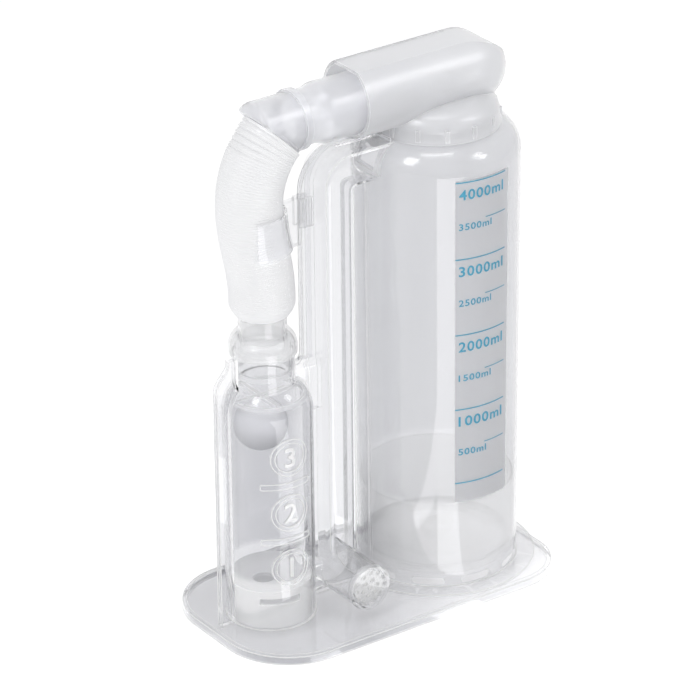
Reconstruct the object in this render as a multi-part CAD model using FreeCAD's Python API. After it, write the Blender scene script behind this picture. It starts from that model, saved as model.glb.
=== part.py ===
import FreeCAD, Part
import math
import os

# Breathing trainer, millimetres. Z is up and -Y is the front, the side with the volume scale.
# The origin lies under the middle of the foot plate, on the surface that it stands on.
V = FreeCAD.Vector
UP = V(0, 0, 1)
ALONG = V(1, 0, 0)
BACKWARD = V(0, 1, 0)

# Clearances
seam = 0.1              # weld line between the two body halves
fit = 0.3               # round pieces that seat in one another
soft_fit = 0.15         # shell edges against the volume cylinder
wall = 1.4              # clear moulded walls

# Foot plate, an upturned tray
plate_len = 173.4
plate_wid = 96.2
plate_corner_flow = 34.0
plate_corner_volume = 27.0
plate_h = 4.5
plate_wall = 1.8
plate_edge_round = 1.1

# Flow chamber, its domed shoulder and the neck for the hose, which stands a little off the chamber's middle
flow_x = -53.5
flow_r = 21.0
flow_straight_z = 109.5
dome_r = 12.0
dome_z = 124.0
neck_x = -55.3
neck_r = 14.6
neck_top = 138.4
mark_pitch = 28.2
mark_z = 92.9
mark_r = 9.1
mark_band = 1.9
mark_raise = 0.6
tick_h = 2.8
tick_from = -134.5
tick_to = -68.0
mark_azimuth = -96.3

# Volume cylinder
volume_x = 41.2
volume_foot_r = 37.9
volume_top_r = 38.9
volume_straight_z = 213.0
volume_shoulder_z = 226.6
volume_collar_r = 27.6
volume_collar_top = 230.8
lid_depth = 3.2
lid_ring_r = 9.0
lid_ring_h = 2.6
foot_flange_r = 46.0
foot_flange_h = 1.3
slot_count = 10
slot_w = 15.4
slot_h = 4.2
slot_gap = 0.3

# Duct between the chambers, and the barrel of the air inlet under it
duct_x = -19.0
duct_w = 17.0
duct_half_depth = 11.0
duct_top = 228.0
duct_bend_r = 15.0
duct_edge_r = 4.0
passage_h = 18.0
port_half_depth = 6.5
port_sill = 4.5
seal_t = 1.3
seal_band = 2.2
inlet_r = 10.9
inlet_z = 18.0
inlet_front = -30.0
inlet_back = 11.0
grille_t = 1.5
grille_plug_len = 4.0
grille_plug_wall = 1.2
grille_hole_r = 1.15
grille_pitch = 3.9
filter_t = 2.5
link_half_depth = 7.5
link_h = 15.0
link_z = 9.0
bridge_low = 103.0
bridge_high = 126.5
bridge_half_depth = 6.0
web_t = 3.0
rim_x = -81.6
rim_turn_z = 127.0
rim_turn_r = 8.0
rim_neck_x = -74.6
rim_neck_z = 135.3
rim_neck_r = 4.0
flange_x = -34.2
flange_top = 230.4
flange_corner_r = 20.0
window_r = 5.0

# Piston and ball
piston_wall = 1.1
piston_low = 13.9
piston_rim = 48.0
piston_corner = 3.5
rest_h = 1.8
rest_lap = 1.0
piston_boss_r = 8.0
piston_boss_h = 6.0
piston_ring_r = 24.0
piston_ring_h = 2.4
ball_x = -57.2
ball_r = 12.5
ball_wall = 1.0
ball_z = 102.3
seat_z = 24.0
seat_t = 1.6
seat_hole_r = 5.0
seat_dish = 1.8
seat_skirt_wall = 1.3
seat_window_drop = 3.9
seat_window_h = 3.2
seat_window_from = -139.0
seat_window_to = -80.0
stop_t = 1.8
stop_bar = 2.2
stop_band = 3.0

# Hose, connector and mouthpiece
connector_r = 11.2
connector_wall = 1.5
connector_top = 166.0
connector_cap_r = 15.9
connector_cap_z = 141.0
connector_cone_z = 148.5
connector_skirt_wall = 1.3
connector_skirt_len = 8.0
connector_seal_h = 2.4
hose_r = 15.2
hose_bore = 11.9
hose_start_z = 157.5
hose_foot_r = 12.4
hose_foot_h = 5.6
hose_straight = 8.0
hose_bow = 5.9
hose_bow_z = 211.6
hose_bend_r = 43.3
hose_bend = 45.0
mouth_z = 247.0
elbow_r = 13.0
elbow_end_x = -60.2
elbow_round = 4.0
elbow_leg = 8.0
elbow_leg_r = 10.9
tube_r = 12.8
tube_start_x = -36.0
flare_start_x = -31.0
flare_end_x = -22.0
flare_r = 14.2
bite_start_x = 8.0
bite_end_x = 26.0
bite_r = 12.4
collar_len = 3.6

# Holder for the mouthpiece on top of the cylinder
holder_r = 18.3
holder_z = 249.2
holder_wall = 1.6
holder_flat = 16.0
holder_open_x = -8.0
holder_dome_x = 56.6
holder_dome_len = 20.0
holder_fall_x = 48.0
skirt_low_r = 30.2
skirt_low_z = 226.8
skirt_wall = 1.2
skirt_high_r = 29.2
skirt_mid_z = 232.0
skirt_shoulder_r = 16.0
skirt_shoulder_z = 242.0
rib_count = 14
rib_w = 2.0
rib_h = 5.5
rib_out = 0.8

# Clip that carries the hose on the edge of the duct
clip_z = 190.0
clip_h = 18.5
clip_wall = 1.5
clip_open = 116.0
clip_hose_x = -59.7
clip_foot_t = 1.6
clip_grip = 5.0
clip_drop = 4.5
tooth_count = 4
tooth_r = 0.7

# Volume scale film
film_t = 0.25
film_from = -113.0
film_to = -70.0
film_low = 50.0
film_high = 212.7

plate_top = plate_h
duct_left = duct_x - duct_w / 2
duct_right = duct_x + duct_w / 2
passage_low = duct_top - passage_h
passage_end = volume_x - volume_collar_r
port_low = passage_low + port_sill
port_h = passage_h - 2 * port_sill
piston_r = min(volume_foot_r, volume_top_r) - wall - fit
collar_start = tube_start_x - collar_len + 1


def polar(radius, degrees):
    """Point at a radius and an azimuth in the ground plane."""
    a = math.radians(degrees)
    return V(radius * math.cos(a), radius * math.sin(a), 0)


def outline(corners, lift):
    """Closed wire through corners (u, v, r), each rounded by r; lift turns (u, v) into a point."""
    edges = []
    ends = []
    n = len(corners)
    for i in range(n):
        u, v, r = corners[i]
        here = V(u, v, 0)
        before = (V(*corners[i - 1][:2], 0) - here).normalize()
        after = (V(*corners[(i + 1) % n][:2], 0) - here).normalize()
        if r == 0:
            ends.append((here, here, None))
            continue
        half = before.getAngle(after) / 2
        reach = r / math.tan(half)
        centre = here + (before + after).normalize() * (r / math.sin(half))
        middle = centre + (here - centre).normalize() * r
        ends.append((here + before * reach, here + after * reach, middle))
    for i in range(n):
        start, end, middle = ends[i]
        if middle:
            edges.append(Part.Arc(lift(start), lift(middle), lift(end)).toShape())
        follow = ends[(i + 1) % n][0]
        if (follow - end).Length > 1e-6:
            edges.append(Part.makeLine(lift(end), lift(follow)))
    return Part.Wire(edges)


def side_slab(corners, half_depth):
    """Slab with an outline seen from the front, reaching half_depth either way of the seam."""
    wire = outline(corners, lambda p: V(p.x, -half_depth, p.y))
    return Part.Face(wire).extrude(V(0, 2 * half_depth, 0))


def line(a, b):
    """Straight profile edge between two (radius, height) pairs."""
    return Part.makeLine(V(a[0], 0, a[1]), V(b[0], 0, b[1]))


def shoulder(a, b, rise=0.6, run=0.5):
    """Profile edge that leaves a upright and lies down towards b."""
    curve = Part.BezierCurve()
    pull_up = V(a[0], 0, a[1] + rise * (b[1] - a[1]))
    pull_in = V(b[0] + run * (a[0] - b[0]), 0, b[1])
    curve.setPoles([V(a[0], 0, a[1]), pull_up, pull_in, V(b[0], 0, b[1])])
    return curve.toShape()


def turned(edges, x, angle=360.0):
    """Solid of revolution about the upright axis at x."""
    face = Part.Face(Part.Wire(edges))
    solid = face.revolve(V(0, 0, 0), UP, angle)
    solid.translate(V(x, 0, 0))
    return solid


def pipe(x, low, high, outer, inner=0.0):
    """Upright tube or rod at x."""
    body = Part.makeCylinder(outer, high - low, V(x, 0, low))
    if inner:
        body = body.cut(Part.makeCylinder(inner, high - low, V(x, 0, low)))
    return body


def fused(shapes):
    """One solid from overlapping shapes, without leftover seams."""
    return shapes[0].fuse(shapes[1:]).removeSplitter()


def sector(x, inner, outer, low, high, start, stop):
    """Part of an upright ring between two azimuths."""
    profile = [line((inner, low), (outer, low)), line((outer, low), (outer, high)),
               line((outer, high), (inner, high)), line((inner, high), (inner, low))]
    piece = turned(profile, 0, stop - start)
    piece.rotate(V(0, 0, 0), UP, start)
    piece.translate(V(x, 0, 0))
    return piece


def plate_corners(inset):
    """Corners of the foot plate seen from above, drawn in by inset."""
    x = plate_len / 2 - inset
    y = plate_wid / 2 - inset
    a = plate_corner_flow - inset
    b = plate_corner_volume - inset
    return [(-x, -y, a), (x, -y, b), (x, y, b), (-x, y, a)]


def tray():
    """Foot plate: a shallow upturned tray with a rounded upper edge."""
    block = Part.Face(outline(plate_corners(0), lambda p: V(p.x, p.y, 0))).extrude(V(0, 0, plate_h))
    rim = [e for e in block.Edges if min(v.Z for v in e.Vertexes) > plate_h - 0.01]
    block = block.makeFillet(plate_edge_round, rim)
    hollow = Part.Face(outline(plate_corners(plate_wall), lambda p: V(p.x, p.y, 0)))
    return block.cut(hollow.extrude(V(0, 0, plate_h - plate_wall)))


def flow_body(inset):
    """Flow chamber with its domed shoulder, and the neck that rises out of the dome, drawn in by inset."""
    r = flow_r - inset
    low = plate_top if inset else plate_h - plate_wall / 2
    turn = (dome_r - inset, dome_z - inset)
    chamber = turned([line((0, low), (r, low)), line((r, low), (r, flow_straight_z)),
                      shoulder((r, flow_straight_z), turn, 0.45, 0.5), line(turn, (0, turn[1])),
                      line((0, turn[1]), (0, low))], flow_x)
    return chamber.fuse(pipe(neck_x, flow_straight_z, neck_top + inset, neck_r - inset))


def duct(inset):
    """Upright duct and its passage to the top of the volume cylinder, drawn in by inset."""
    left = duct_left + inset
    right = duct_right - inset
    top = duct_top - inset
    low = passage_low + inset
    slab = side_slab([(left, inlet_z, 0), (left, top, duct_bend_r - inset), (passage_end, top, 0),
                      (passage_end, low, 0), (right, low, 2 + inset), (right, inlet_z, 0)],
                     duct_half_depth - inset)
    lengthwise = [e for e in slab.Edges if abs(e.Vertexes[0].Y - e.Vertexes[-1].Y) < 0.01]
    return slab.makeFillet(duct_edge_r - inset, lengthwise)


def inlet(inset):
    """Barrel of the air inlet, lying from front to back below the duct."""
    low = inlet_front if inset == 0 else inlet_front - wall
    length = inlet_back - inset - low
    barrel = Part.makeCylinder(inlet_r - inset, length, V(duct_x, low, inlet_z), BACKWARD)
    rear = [e for e in barrel.Edges if min(v.Y for v in e.Vertexes) > inlet_back - inset - 0.01]
    return barrel.makeFillet(duct_edge_r - inset, rear)


def link(inset):
    """Low passage from the inlet barrel into the flow chamber."""
    left = flow_x + flow_r - 5
    box = Part.makeBox(duct_x - left, 2 * (link_half_depth - inset), link_h - 2 * inset,
                       V(left, inset - link_half_depth, link_z + inset))
    edges = [e for e in box.Edges if abs(e.Vertexes[0].X - e.Vertexes[-1].X) > 1]
    return box.makeFillet(duct_edge_r - inset, edges)


def web():
    """Thin wall in the plane of the seam that joins the chambers and rims the duct."""
    low = plate_h - plate_wall / 2
    slab = side_slab([(rim_x, low, 0), (rim_x, rim_turn_z, rim_turn_r), (rim_neck_x, rim_neck_z, rim_neck_r),
                      (rim_neck_x, neck_top, 0), (neck_x, neck_top, 0), (neck_x, bridge_high, 0),
                      (flange_x, bridge_high, window_r),
                      (flange_x, flange_top, flange_corner_r), (volume_x, flange_top, 0),
                      (volume_x, low, 0)], web_t / 2)
    left = flow_x
    band = Part.makeBox(duct_x - left, 2 * bridge_half_depth, bridge_high - bridge_low,
                        V(left, -bridge_half_depth, bridge_low))
    edges = [e for e in band.Edges if abs(e.Vertexes[0].X - e.Vertexes[-1].X) > 1]
    return slab.fuse(band.makeFillet(bridge_half_depth / 3, edges))


def volume_profile(grow):
    """Outer face of the volume cylinder above its flange, moved outwards by grow."""
    foot = (volume_foot_r + grow, plate_top)
    top = (volume_top_r + grow, volume_straight_z)
    collar = (volume_collar_r + grow, volume_shoulder_z + grow)
    return foot, top, collar


def volume_room(grow):
    """Space that the volume cylinder takes, moved outwards by grow."""
    foot, top, collar = volume_profile(grow)
    high = volume_collar_top + grow
    return turned([line((0, foot[1]), foot), line(foot, top), shoulder(top, collar),
                   line(collar, (collar[0], high)), line((collar[0], high), (0, high)),
                   line((0, high), (0, foot[1]))], volume_x)


def raised(shape):
    """What a shape marks on the front of the flow chamber, standing proud of its wall."""
    skin = pipe(flow_x, plate_top, flow_straight_z, flow_r + mark_raise, flow_r - wall / 2)
    return shape.common(skin)


def marks():
    """Three embossed rings on the flow chamber with a tick bar between them."""
    found = []
    centre = polar(flow_r, mark_azimuth)
    for i in range(3):
        z = mark_z - i * mark_pitch
        start = V(flow_x + centre.x, -flow_r - 2, z)
        disc = Part.makeCylinder(mark_r, flow_r, start, BACKWARD)
        found.append(raised(disc.cut(Part.makeCylinder(mark_r - mark_band, flow_r, start, BACKWARD))))
    for i in range(2):
        z = mark_z - (i + 0.5) * mark_pitch - tick_h / 2
        found.append(sector(flow_x, flow_r - wall / 2, flow_r + mark_raise, z, z + tick_h, tick_from, tick_to))
    return found


def body():
    """The whole clear body before it is parted along the seam."""
    outer = fused([tray(), flow_body(0), duct(0), inlet(0), link(0), web()] + marks())
    inner = [flow_body(wall), duct(wall), inlet(wall), link(wall)]
    hollow = outer.cut(inner)
    flange_room = pipe(volume_x, plate_top, plate_top + foot_flange_h + soft_fit, foot_flange_r + soft_fit)
    hollow = hollow.cut([volume_room(soft_fit), flange_room])
    hollow = hollow.cut(pipe(volume_x, skirt_low_z - fit, flange_top + 1, skirt_low_r + fit))
    mouth = Part.makeBox(passage_end - duct_right, 2 * duct_half_depth, passage_h + 2 * fit,
                         V(duct_right, -duct_half_depth, passage_low - fit))
    return hollow.cut(volume_room(seal_t + fit).common(mouth))


def port_block(grow):
    """Block through the shoulder of the cylinder where its port is, grown by a margin."""
    half_depth = port_half_depth + grow
    return Part.makeBox(passage_end - duct_right, 2 * half_depth, port_h + 2 * grow,
                        V(duct_right, -half_depth, port_low - grow))


def half(shape, side):
    """Front (side -1) or back (side 1) half of a shape, clear of the seam."""
    size = 2 * plate_len
    keep = Part.makeBox(size, size, size, V(-size / 2, seam / 2 if side > 0 else -size - seam / 2, -size / 4))
    return shape.common(keep)


def port_seal():
    """Soft frame between the passage and the volume cylinder."""
    frame = volume_room(seal_t).cut(volume_room(soft_fit))
    return frame.common(port_block(fit + seal_band)).cut(port_block(fit))


def volume_cylinder():
    """Milky cylinder with a foot flange, air slots round the foot, a shoulder and an open collar."""
    foot, top, collar = volume_profile(0)
    flange = plate_top + foot_flange_h
    inner_foot = (foot[0] - wall, plate_top)
    inner_top = (top[0] - wall, volume_straight_z)
    inner_collar = (collar[0] - wall, volume_shoulder_z - wall)
    skin = turned([line(inner_foot, (foot_flange_r, plate_top)),
                   line((foot_flange_r, plate_top), (foot_flange_r, flange)),
                   line((foot_flange_r, flange), (foot[0], flange)), line((foot[0], flange), top),
                   shoulder(top, collar), line(collar, (collar[0], volume_collar_top)),
                   line((collar[0], volume_collar_top), (inner_collar[0], volume_collar_top)),
                   line((inner_collar[0], volume_collar_top), inner_collar),
                   Part.Edge(shoulder(inner_top, inner_collar)), line(inner_top, inner_foot)], volume_x)
    low = flange + slot_gap
    r = slot_h / 2
    corners = [(-slot_w / 2, low, r - 0.01), (slot_w / 2, low, r - 0.01),
               (slot_w / 2, low + slot_h, r - 0.01), (-slot_w / 2, low + slot_h, r - 0.01)]
    slot = Part.Face(outline(corners, lambda p: V(p.x, -foot_flange_r, p.y)))
    slot = slot.extrude(V(0, foot_flange_r / 2, 0))
    slots = []
    for i in range(slot_count):
        one = slot.copy()
        one.rotate(V(0, 0, 0), UP, i * 360.0 / slot_count - 6)
        one.translate(V(volume_x, 0, 0))
        slots.append(one)
    return skin.cut(slots + [port_block(0)])


def volume_scale():
    """Printed film on the front of the cylinder."""
    rate = (volume_top_r - volume_foot_r) / (volume_straight_z - plate_top)
    low_r = volume_foot_r + rate * (film_low - plate_top) + 0.05
    high_r = volume_foot_r + rate * (film_high - plate_top) + 0.05
    film = turned([line((low_r, film_low), (low_r + film_t, film_low)),
                   line((low_r + film_t, film_low), (high_r + film_t, film_high)),
                   line((high_r + film_t, film_high), (high_r, film_high)),
                   line((high_r, film_high), (low_r, film_low))], 0, film_to - film_from)
    film.rotate(V(0, 0, 0), UP, film_from)
    film.translate(V(volume_x, 0, 0))
    return film


def cylinder_lid():
    """Disc that closes the collar, with a stiffening ring and a rim that lies on the collar's edge."""
    r = volume_collar_r - wall - fit
    low = volume_collar_top - lid_depth
    rim = pipe(volume_x, low, volume_collar_top - fit, r, r - wall)
    ring = pipe(volume_x, low, low + lid_ring_h, lid_ring_r, lid_ring_r - wall)
    return fused([pipe(volume_x, low, low + wall, r), rim, ring])


def piston():
    """Light cup that rises in the cylinder, with a rounded foot and a centre boss."""
    r = piston_r
    c = piston_corner
    t = piston_wall
    sag = c * (1 - math.sqrt(0.5))
    outer = [line((0, piston_low), (r - c, piston_low)),
             Part.Arc(V(r - c, 0, piston_low), V(r - sag, 0, piston_low + sag),
                      V(r, 0, piston_low + c)).toShape(),
             line((r, piston_low + c), (r, piston_rim)), line((r, piston_rim), (r - t, piston_rim)),
             line((r - t, piston_rim), (r - t, piston_low + c)),
             Part.Arc(V(r - t, 0, piston_low + c),
                      V(r - c + (c - t) * math.sqrt(0.5), 0, piston_low + c - (c - t) * math.sqrt(0.5)),
                      V(r - c, 0, piston_low + t)).toShape(),
             line((r - c, piston_low + t), (0, piston_low + t)), line((0, piston_low + t), (0, piston_low))]
    cup = turned(outer, volume_x)
    boss = pipe(volume_x, piston_low, piston_low + piston_boss_h, piston_boss_r, piston_boss_r - t)
    ring = pipe(volume_x, piston_low, piston_low + piston_ring_h, piston_ring_r, piston_ring_r - t)
    return fused([cup, boss, ring])


def piston_rest():
    """Ledge inside the foot of the cylinder that the piston comes down on."""
    rate = (volume_top_r - volume_foot_r) / (volume_straight_z - plate_top)
    low = piston_low - fit - rest_h
    r = volume_foot_r + rate * (low - plate_top) - wall - fit / 2
    return pipe(volume_x, low, low + rest_h, r, piston_r - piston_corner - rest_lap)


def flow_ball():
    """Hollow indicator ball, held here against its upper stop."""
    centre = V(ball_x, 0, ball_z)
    return Part.makeSphere(ball_r, centre).cut(Part.makeSphere(ball_r - ball_wall, centre))


def ball_seat():
    """Dished disc with the hole that the ball rests in, on a skirt with windows for the air."""
    r = flow_r - wall - fit
    low = seat_z - seat_dish
    far = 2 * flow_r
    far_z = low + seat_dish * (far - seat_hole_r) / (r - seat_hole_r)
    dish = turned([line((seat_hole_r, low), (far, far_z)), line((far, far_z), (far, far_z - seat_t)),
                   line((far, far_z - seat_t), (seat_hole_r, low - seat_t)),
                   line((seat_hole_r, low - seat_t), (seat_hole_r, low))], ball_x)
    disc = dish.common(pipe(flow_x, plate_top, 2 * seat_z, r))
    skirt = pipe(flow_x, plate_top, seat_z - seat_t / 2, r, r - seat_skirt_wall)
    door = Part.makeBox(r + 1, 2 * (link_half_depth - wall), link_h - 2 * wall - 0.6,
                        V(flow_x + 2, wall - link_half_depth, link_z + wall))
    window_top = seat_z - seat_window_drop
    window = sector(flow_x, r - 2 * seat_skirt_wall, r + 1, window_top - seat_window_h, window_top,
                    seat_window_from, seat_window_to)
    return fused([disc, skirt]).cut([door, window])


def ball_stop():
    """Ring with a cross, set in the dome, that keeps the ball out of the neck."""
    low = ball_z + ball_r + fit
    room = flow_body(wall + fit).common(pipe(flow_x, low, low + stop_t, flow_r))
    hole = pipe(flow_x, low, low + stop_t, flow_r - wall - fit - stop_band)
    bars = [Part.makeBox(2 * flow_r, stop_bar, stop_t, V(flow_x - flow_r, -stop_bar / 2, low)),
            Part.makeBox(stop_bar, 2 * flow_r, stop_t, V(ball_x - stop_bar / 2, -flow_r, low))]
    return fused([room.cut(hole)] + [bar.common(room) for bar in bars])


def inlet_grille():
    """Perforated disc over the air inlet, on a short ring that plugs into the barrel."""
    face = inlet_front - soft_fit - grille_t
    disc = Part.makeCylinder(inlet_r + fit, grille_t, V(duct_x, face, inlet_z), BACKWARD)
    front = [e for e in disc.Edges if max(v.Y for v in e.Vertexes) < face + grille_t / 2]
    disc = disc.makeFillet(grille_t / 2, front)
    holes = []
    for ring, count in ((0, 1), (1, 6), (2, 12)):
        for i in range(count):
            a = polar(ring * grille_pitch, 360.0 * i / count + 15 * ring)
            holes.append(Part.makeCylinder(grille_hole_r, 2 * grille_t,
                                           V(duct_x + a.x, face - grille_t / 2, inlet_z + a.y), BACKWARD))
    plug_r = inlet_r - wall - soft_fit
    start = V(duct_x, face + grille_t / 2, inlet_z)
    plug = Part.makeCylinder(plug_r, grille_plug_len, start, BACKWARD)
    plug = plug.cut(Part.makeCylinder(plug_r - grille_plug_wall, grille_plug_len, start, BACKWARD))
    return fused([disc.cut(holes), plug])


def inlet_filter():
    """Felt disc behind the grille."""
    r = inlet_r - wall - soft_fit - grille_plug_wall - soft_fit
    return Part.makeCylinder(r, filter_t, V(duct_x, inlet_front + soft_fit, inlet_z), BACKWARD)


def hose_connector():
    """Conical spigot for the hose with the skirt that plugs into the neck."""
    bore = connector_r - connector_wall
    cap_low = neck_top + fit
    edge = (connector_cap_r, connector_cap_z)
    peak = (connector_r, connector_cone_z)
    cap = turned([line((bore, cap_low), (connector_cap_r, cap_low)), line((connector_cap_r, cap_low), edge),
                  shoulder(edge, peak, 0.6, 0.5), line(peak, (connector_r, connector_top)),
                  line((connector_r, connector_top), (bore, connector_top)),
                  line((bore, connector_top), (bore, cap_low))], neck_x)
    under = (connector_cap_r - wall, connector_cap_z - wall)
    dome = turned([line((connector_r, cap_low), (under[0], cap_low)), line((under[0], cap_low), under),
                   shoulder(under, (connector_r, connector_cone_z - 2 * wall), 0.6, 0.5),
                   line((connector_r, connector_cone_z - 2 * wall), (connector_r, cap_low))], neck_x)
    plug_r = neck_r - wall - fit
    skirt_low = neck_top - connector_skirt_len
    skirt = pipe(neck_x, skirt_low, connector_cap_z, plug_r, plug_r - connector_skirt_wall)
    ledge = pipe(neck_x, cap_low, cap_low + wall, plug_r, bore)
    return fused([cap.cut(dome), skirt, ledge])


def connector_seal():
    """Soft ring under the skirt of the connector."""
    plug_r = neck_r - wall - soft_fit
    high = neck_top - connector_skirt_len - soft_fit
    return pipe(neck_x, high - connector_seal_h, high, plug_r, plug_r - connector_skirt_wall)


def hose_route():
    """Centre line of the hose: up, bowed away from the duct and over to the elbow."""
    start = V(neck_x, 0, hose_start_z)
    upright = start + UP * hose_straight
    bow = V(neck_x - hose_bow, 0, hose_bow_z)
    turn = math.radians(hose_bend)
    centre = bow + ALONG * hose_bend_r
    middle = centre + V(-math.cos(turn / 2), 0, math.sin(turn / 2)) * hose_bend_r
    end = centre + V(-math.cos(turn), 0, math.sin(turn)) * hose_bend_r
    pull = UP * ((hose_bow_z - upright.z) / 2.5)
    lean = Part.BezierCurve()
    lean.setPoles([upright, upright + pull, bow - pull, bow])
    wire = Part.Wire([Part.makeLine(start, upright), lean.toShape(), Part.Arc(bow, middle, end).toShape()])
    return wire, end, V(math.sin(turn), 0, math.cos(turn))


def swept(wire, radius):
    """Round solid along the hose route."""
    first = wire.Vertexes[0].Point
    ring = Part.Wire([Part.Edge(Part.Circle(first, UP, radius))])
    return wire.makePipeShell([ring], True, False)


def hose():
    """Pleated hose, its pleats left to the surface detail."""
    wire = hose_route()[0]
    skin = swept(wire, hose_r)
    foot = [line((hose_foot_r, hose_start_z), (2 * hose_r, hose_start_z)),
            line((2 * hose_r, hose_start_z), (2 * hose_r, hose_start_z + hose_foot_h)),
            line((2 * hose_r, hose_start_z + hose_foot_h), (hose_r, hose_start_z + hose_foot_h)),
            shoulder((hose_r, hose_start_z + hose_foot_h), (hose_foot_r, hose_start_z), 0.5, 0.2)]
    return skin.cut([turned(foot, neck_x), swept(wire, hose_bore)])


def hose_elbow():
    """Elbow with a round closed end, a leg in the hose and a bore towards the mouthpiece."""
    end, way = hose_route()[1:]
    length = tube_start_x - elbow_end_x
    barrel = Part.makeCylinder(elbow_r, length, V(elbow_end_x, 0, mouth_z), ALONG)
    left = [e for e in barrel.Edges if e.BoundBox.XMax < elbow_end_x + 0.01]
    barrel = barrel.makeFillet(elbow_round, left)
    face = end + way * fit
    below = Part.makeCylinder(4 * elbow_r, 4 * elbow_r, face, way * -1)
    barrel = barrel.cut(below)
    rim = Part.makeCylinder(elbow_r + 1.2, 1.4, face, way)
    leg = Part.makeCylinder(elbow_leg_r, elbow_leg + 4, end - way * elbow_leg, way)
    bore = Part.makeCylinder(elbow_r - wall, length, V(elbow_end_x + wall + 2, 0, mouth_z), ALONG)
    leg_bore = Part.makeCylinder(elbow_leg_r - wall, elbow_leg + 12, end - way * (elbow_leg + 1), way)
    rim_from = elbow_end_x - 2 * elbow_round
    rim_trim = rim.common(Part.makeBox(collar_start - fit - rim_from, 4 * elbow_r, 4 * elbow_r,
                                       V(rim_from, -2 * elbow_r, mouth_z - elbow_r - 3)))
    return fused([barrel, leg, rim_trim]).cut([bore.cut(below), leg_bore])


def elbow_collar():
    """Ring round the joint between elbow and mouthpiece."""
    start = V(collar_start, 0, mouth_z)
    outer = Part.makeCylinder(elbow_r + 1.3, collar_len, start, ALONG)
    rims = [e for e in outer.Edges if abs(e.BoundBox.XMax - e.BoundBox.XMin) < 0.01]
    outer = outer.makeFillet(0.5, rims)
    return outer.cut(Part.makeCylinder(elbow_r + 0.12, collar_len, start, ALONG))


def mouthpiece():
    """Mouth tube: a spigot in the elbow, a flare, and the narrower end kept under the holder."""
    def edge(a, b):
        return Part.makeLine(V(a[0], 0, mouth_z + a[1]), V(b[0], 0, mouth_z + b[1]))

    def sweep(a, b):
        curve = Part.BezierCurve()
        half_way = (a[0] + b[0]) / 2
        curve.setPoles([V(a[0], 0, mouth_z + a[1]), V(half_way, 0, mouth_z + a[1]),
                        V(half_way, 0, mouth_z + b[1]), V(b[0], 0, mouth_z + b[1])])
        return curve.toShape()

    spigot_r = elbow_r - wall - fit
    bore = spigot_r - 1.2
    start = tube_start_x + 0.2
    tip = start - 6
    profile = [edge((tip, bore), (tip, spigot_r)), edge((tip, spigot_r), (start, spigot_r)),
               edge((start, spigot_r), (start, tube_r)), edge((start, tube_r), (flare_start_x, tube_r)),
               sweep((flare_start_x, tube_r), (flare_end_x, flare_r)),
               edge((flare_end_x, flare_r), (bite_start_x, flare_r)),
               sweep((bite_start_x, flare_r), (bite_end_x, bite_r)),
               edge((bite_end_x, bite_r), (bite_end_x, bite_r - wall)),
               sweep((bite_end_x, bite_r - wall), (bite_start_x, flare_r - wall)),
               edge((bite_start_x, flare_r - wall), (flare_end_x, flare_r - wall)),
               sweep((flare_end_x, flare_r - wall), (flare_start_x, bore)),
               edge((flare_start_x, bore), (tip, bore))]
    return Part.Face(Part.Wire(profile)).revolve(V(0, 0, mouth_z), ALONG, 360)


def holder_body(inset):
    """Sleeve of the holder with its flat top and falling round end, drawn in by inset."""
    r = holder_r - inset
    start = holder_open_x - inset
    tube = Part.makeCylinder(r, holder_dome_x - start, V(start, 0, holder_z), ALONG)
    dome = Part.makeSphere(r, V(0, 0, 0))
    stretch = FreeCAD.Matrix()
    stretch.scale((holder_dome_len - inset) / r, 1, 1)
    dome = dome.transformGeometry(stretch)
    dome.translate(V(holder_dome_x, 0, holder_z))
    top = holder_z + holder_flat - inset
    low = holder_z - holder_r - 1
    far = holder_dome_x + holder_dome_len - inset
    y = -2 * holder_r
    end_z = holder_z - holder_flat / 4
    edges = [Part.makeLine(V(start - 1, y, low), V(start - 1, y, top)),
             Part.makeLine(V(start - 1, y, top), V(holder_fall_x, y, top))]
    fall = Part.BezierCurve()
    fall.setPoles([V(holder_fall_x, y, top), V(holder_fall_x + 0.6 * (far - holder_fall_x), y, top),
                   V(far, y, holder_z + 0.45 * holder_flat), V(far, y, end_z)])
    edges += [fall.toShape(), Part.makeLine(V(far, y, end_z), V(far, y, low)),
              Part.makeLine(V(far, y, low), V(start - 1, y, low))]
    side = Part.Face(Part.Wire(edges)).extrude(V(0, -2 * y, 0))
    return tube.fuse(dome).common(side)


def skirt_body(inset):
    """Round skirt of the holder that comes down over the cylinder's collar, drawn in by inset."""
    low_r = skirt_low_r - inset
    high_r = skirt_high_r - inset
    peak = (skirt_shoulder_r - inset, skirt_shoulder_z - inset)
    return turned([line((0, skirt_low_z), (low_r, skirt_low_z)),
                   line((low_r, skirt_low_z), (high_r, skirt_mid_z)),
                   shoulder((high_r, skirt_mid_z), peak, 0.7, 0.4), line(peak, (0, peak[1])),
                   line((0, peak[1]), (0, skirt_low_z))], volume_x)


def mouthpiece_holder():
    """Holder over the cylinder: a sleeve for the mouthpiece on a ribbed skirt."""
    sleeve = holder_body(0)
    shell = fused([sleeve, skirt_body(0)])
    room = skirt_body(skirt_wall).cut(sleeve)
    shell = shell.cut([room, holder_body(holder_wall)])
    ribs = []
    for i in range(rib_count):
        rib = Part.makeBox(rib_out + 0.8, rib_w, rib_h, V(skirt_high_r - 0.6, -rib_w / 2, skirt_low_z + 1.2))
        rib.rotate(V(0, 0, 0), UP, i * 360.0 / rib_count - 90)
        rib.translate(V(volume_x, 0, 0))
        ribs.append(rib)
    return fused([shell] + ribs)


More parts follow.
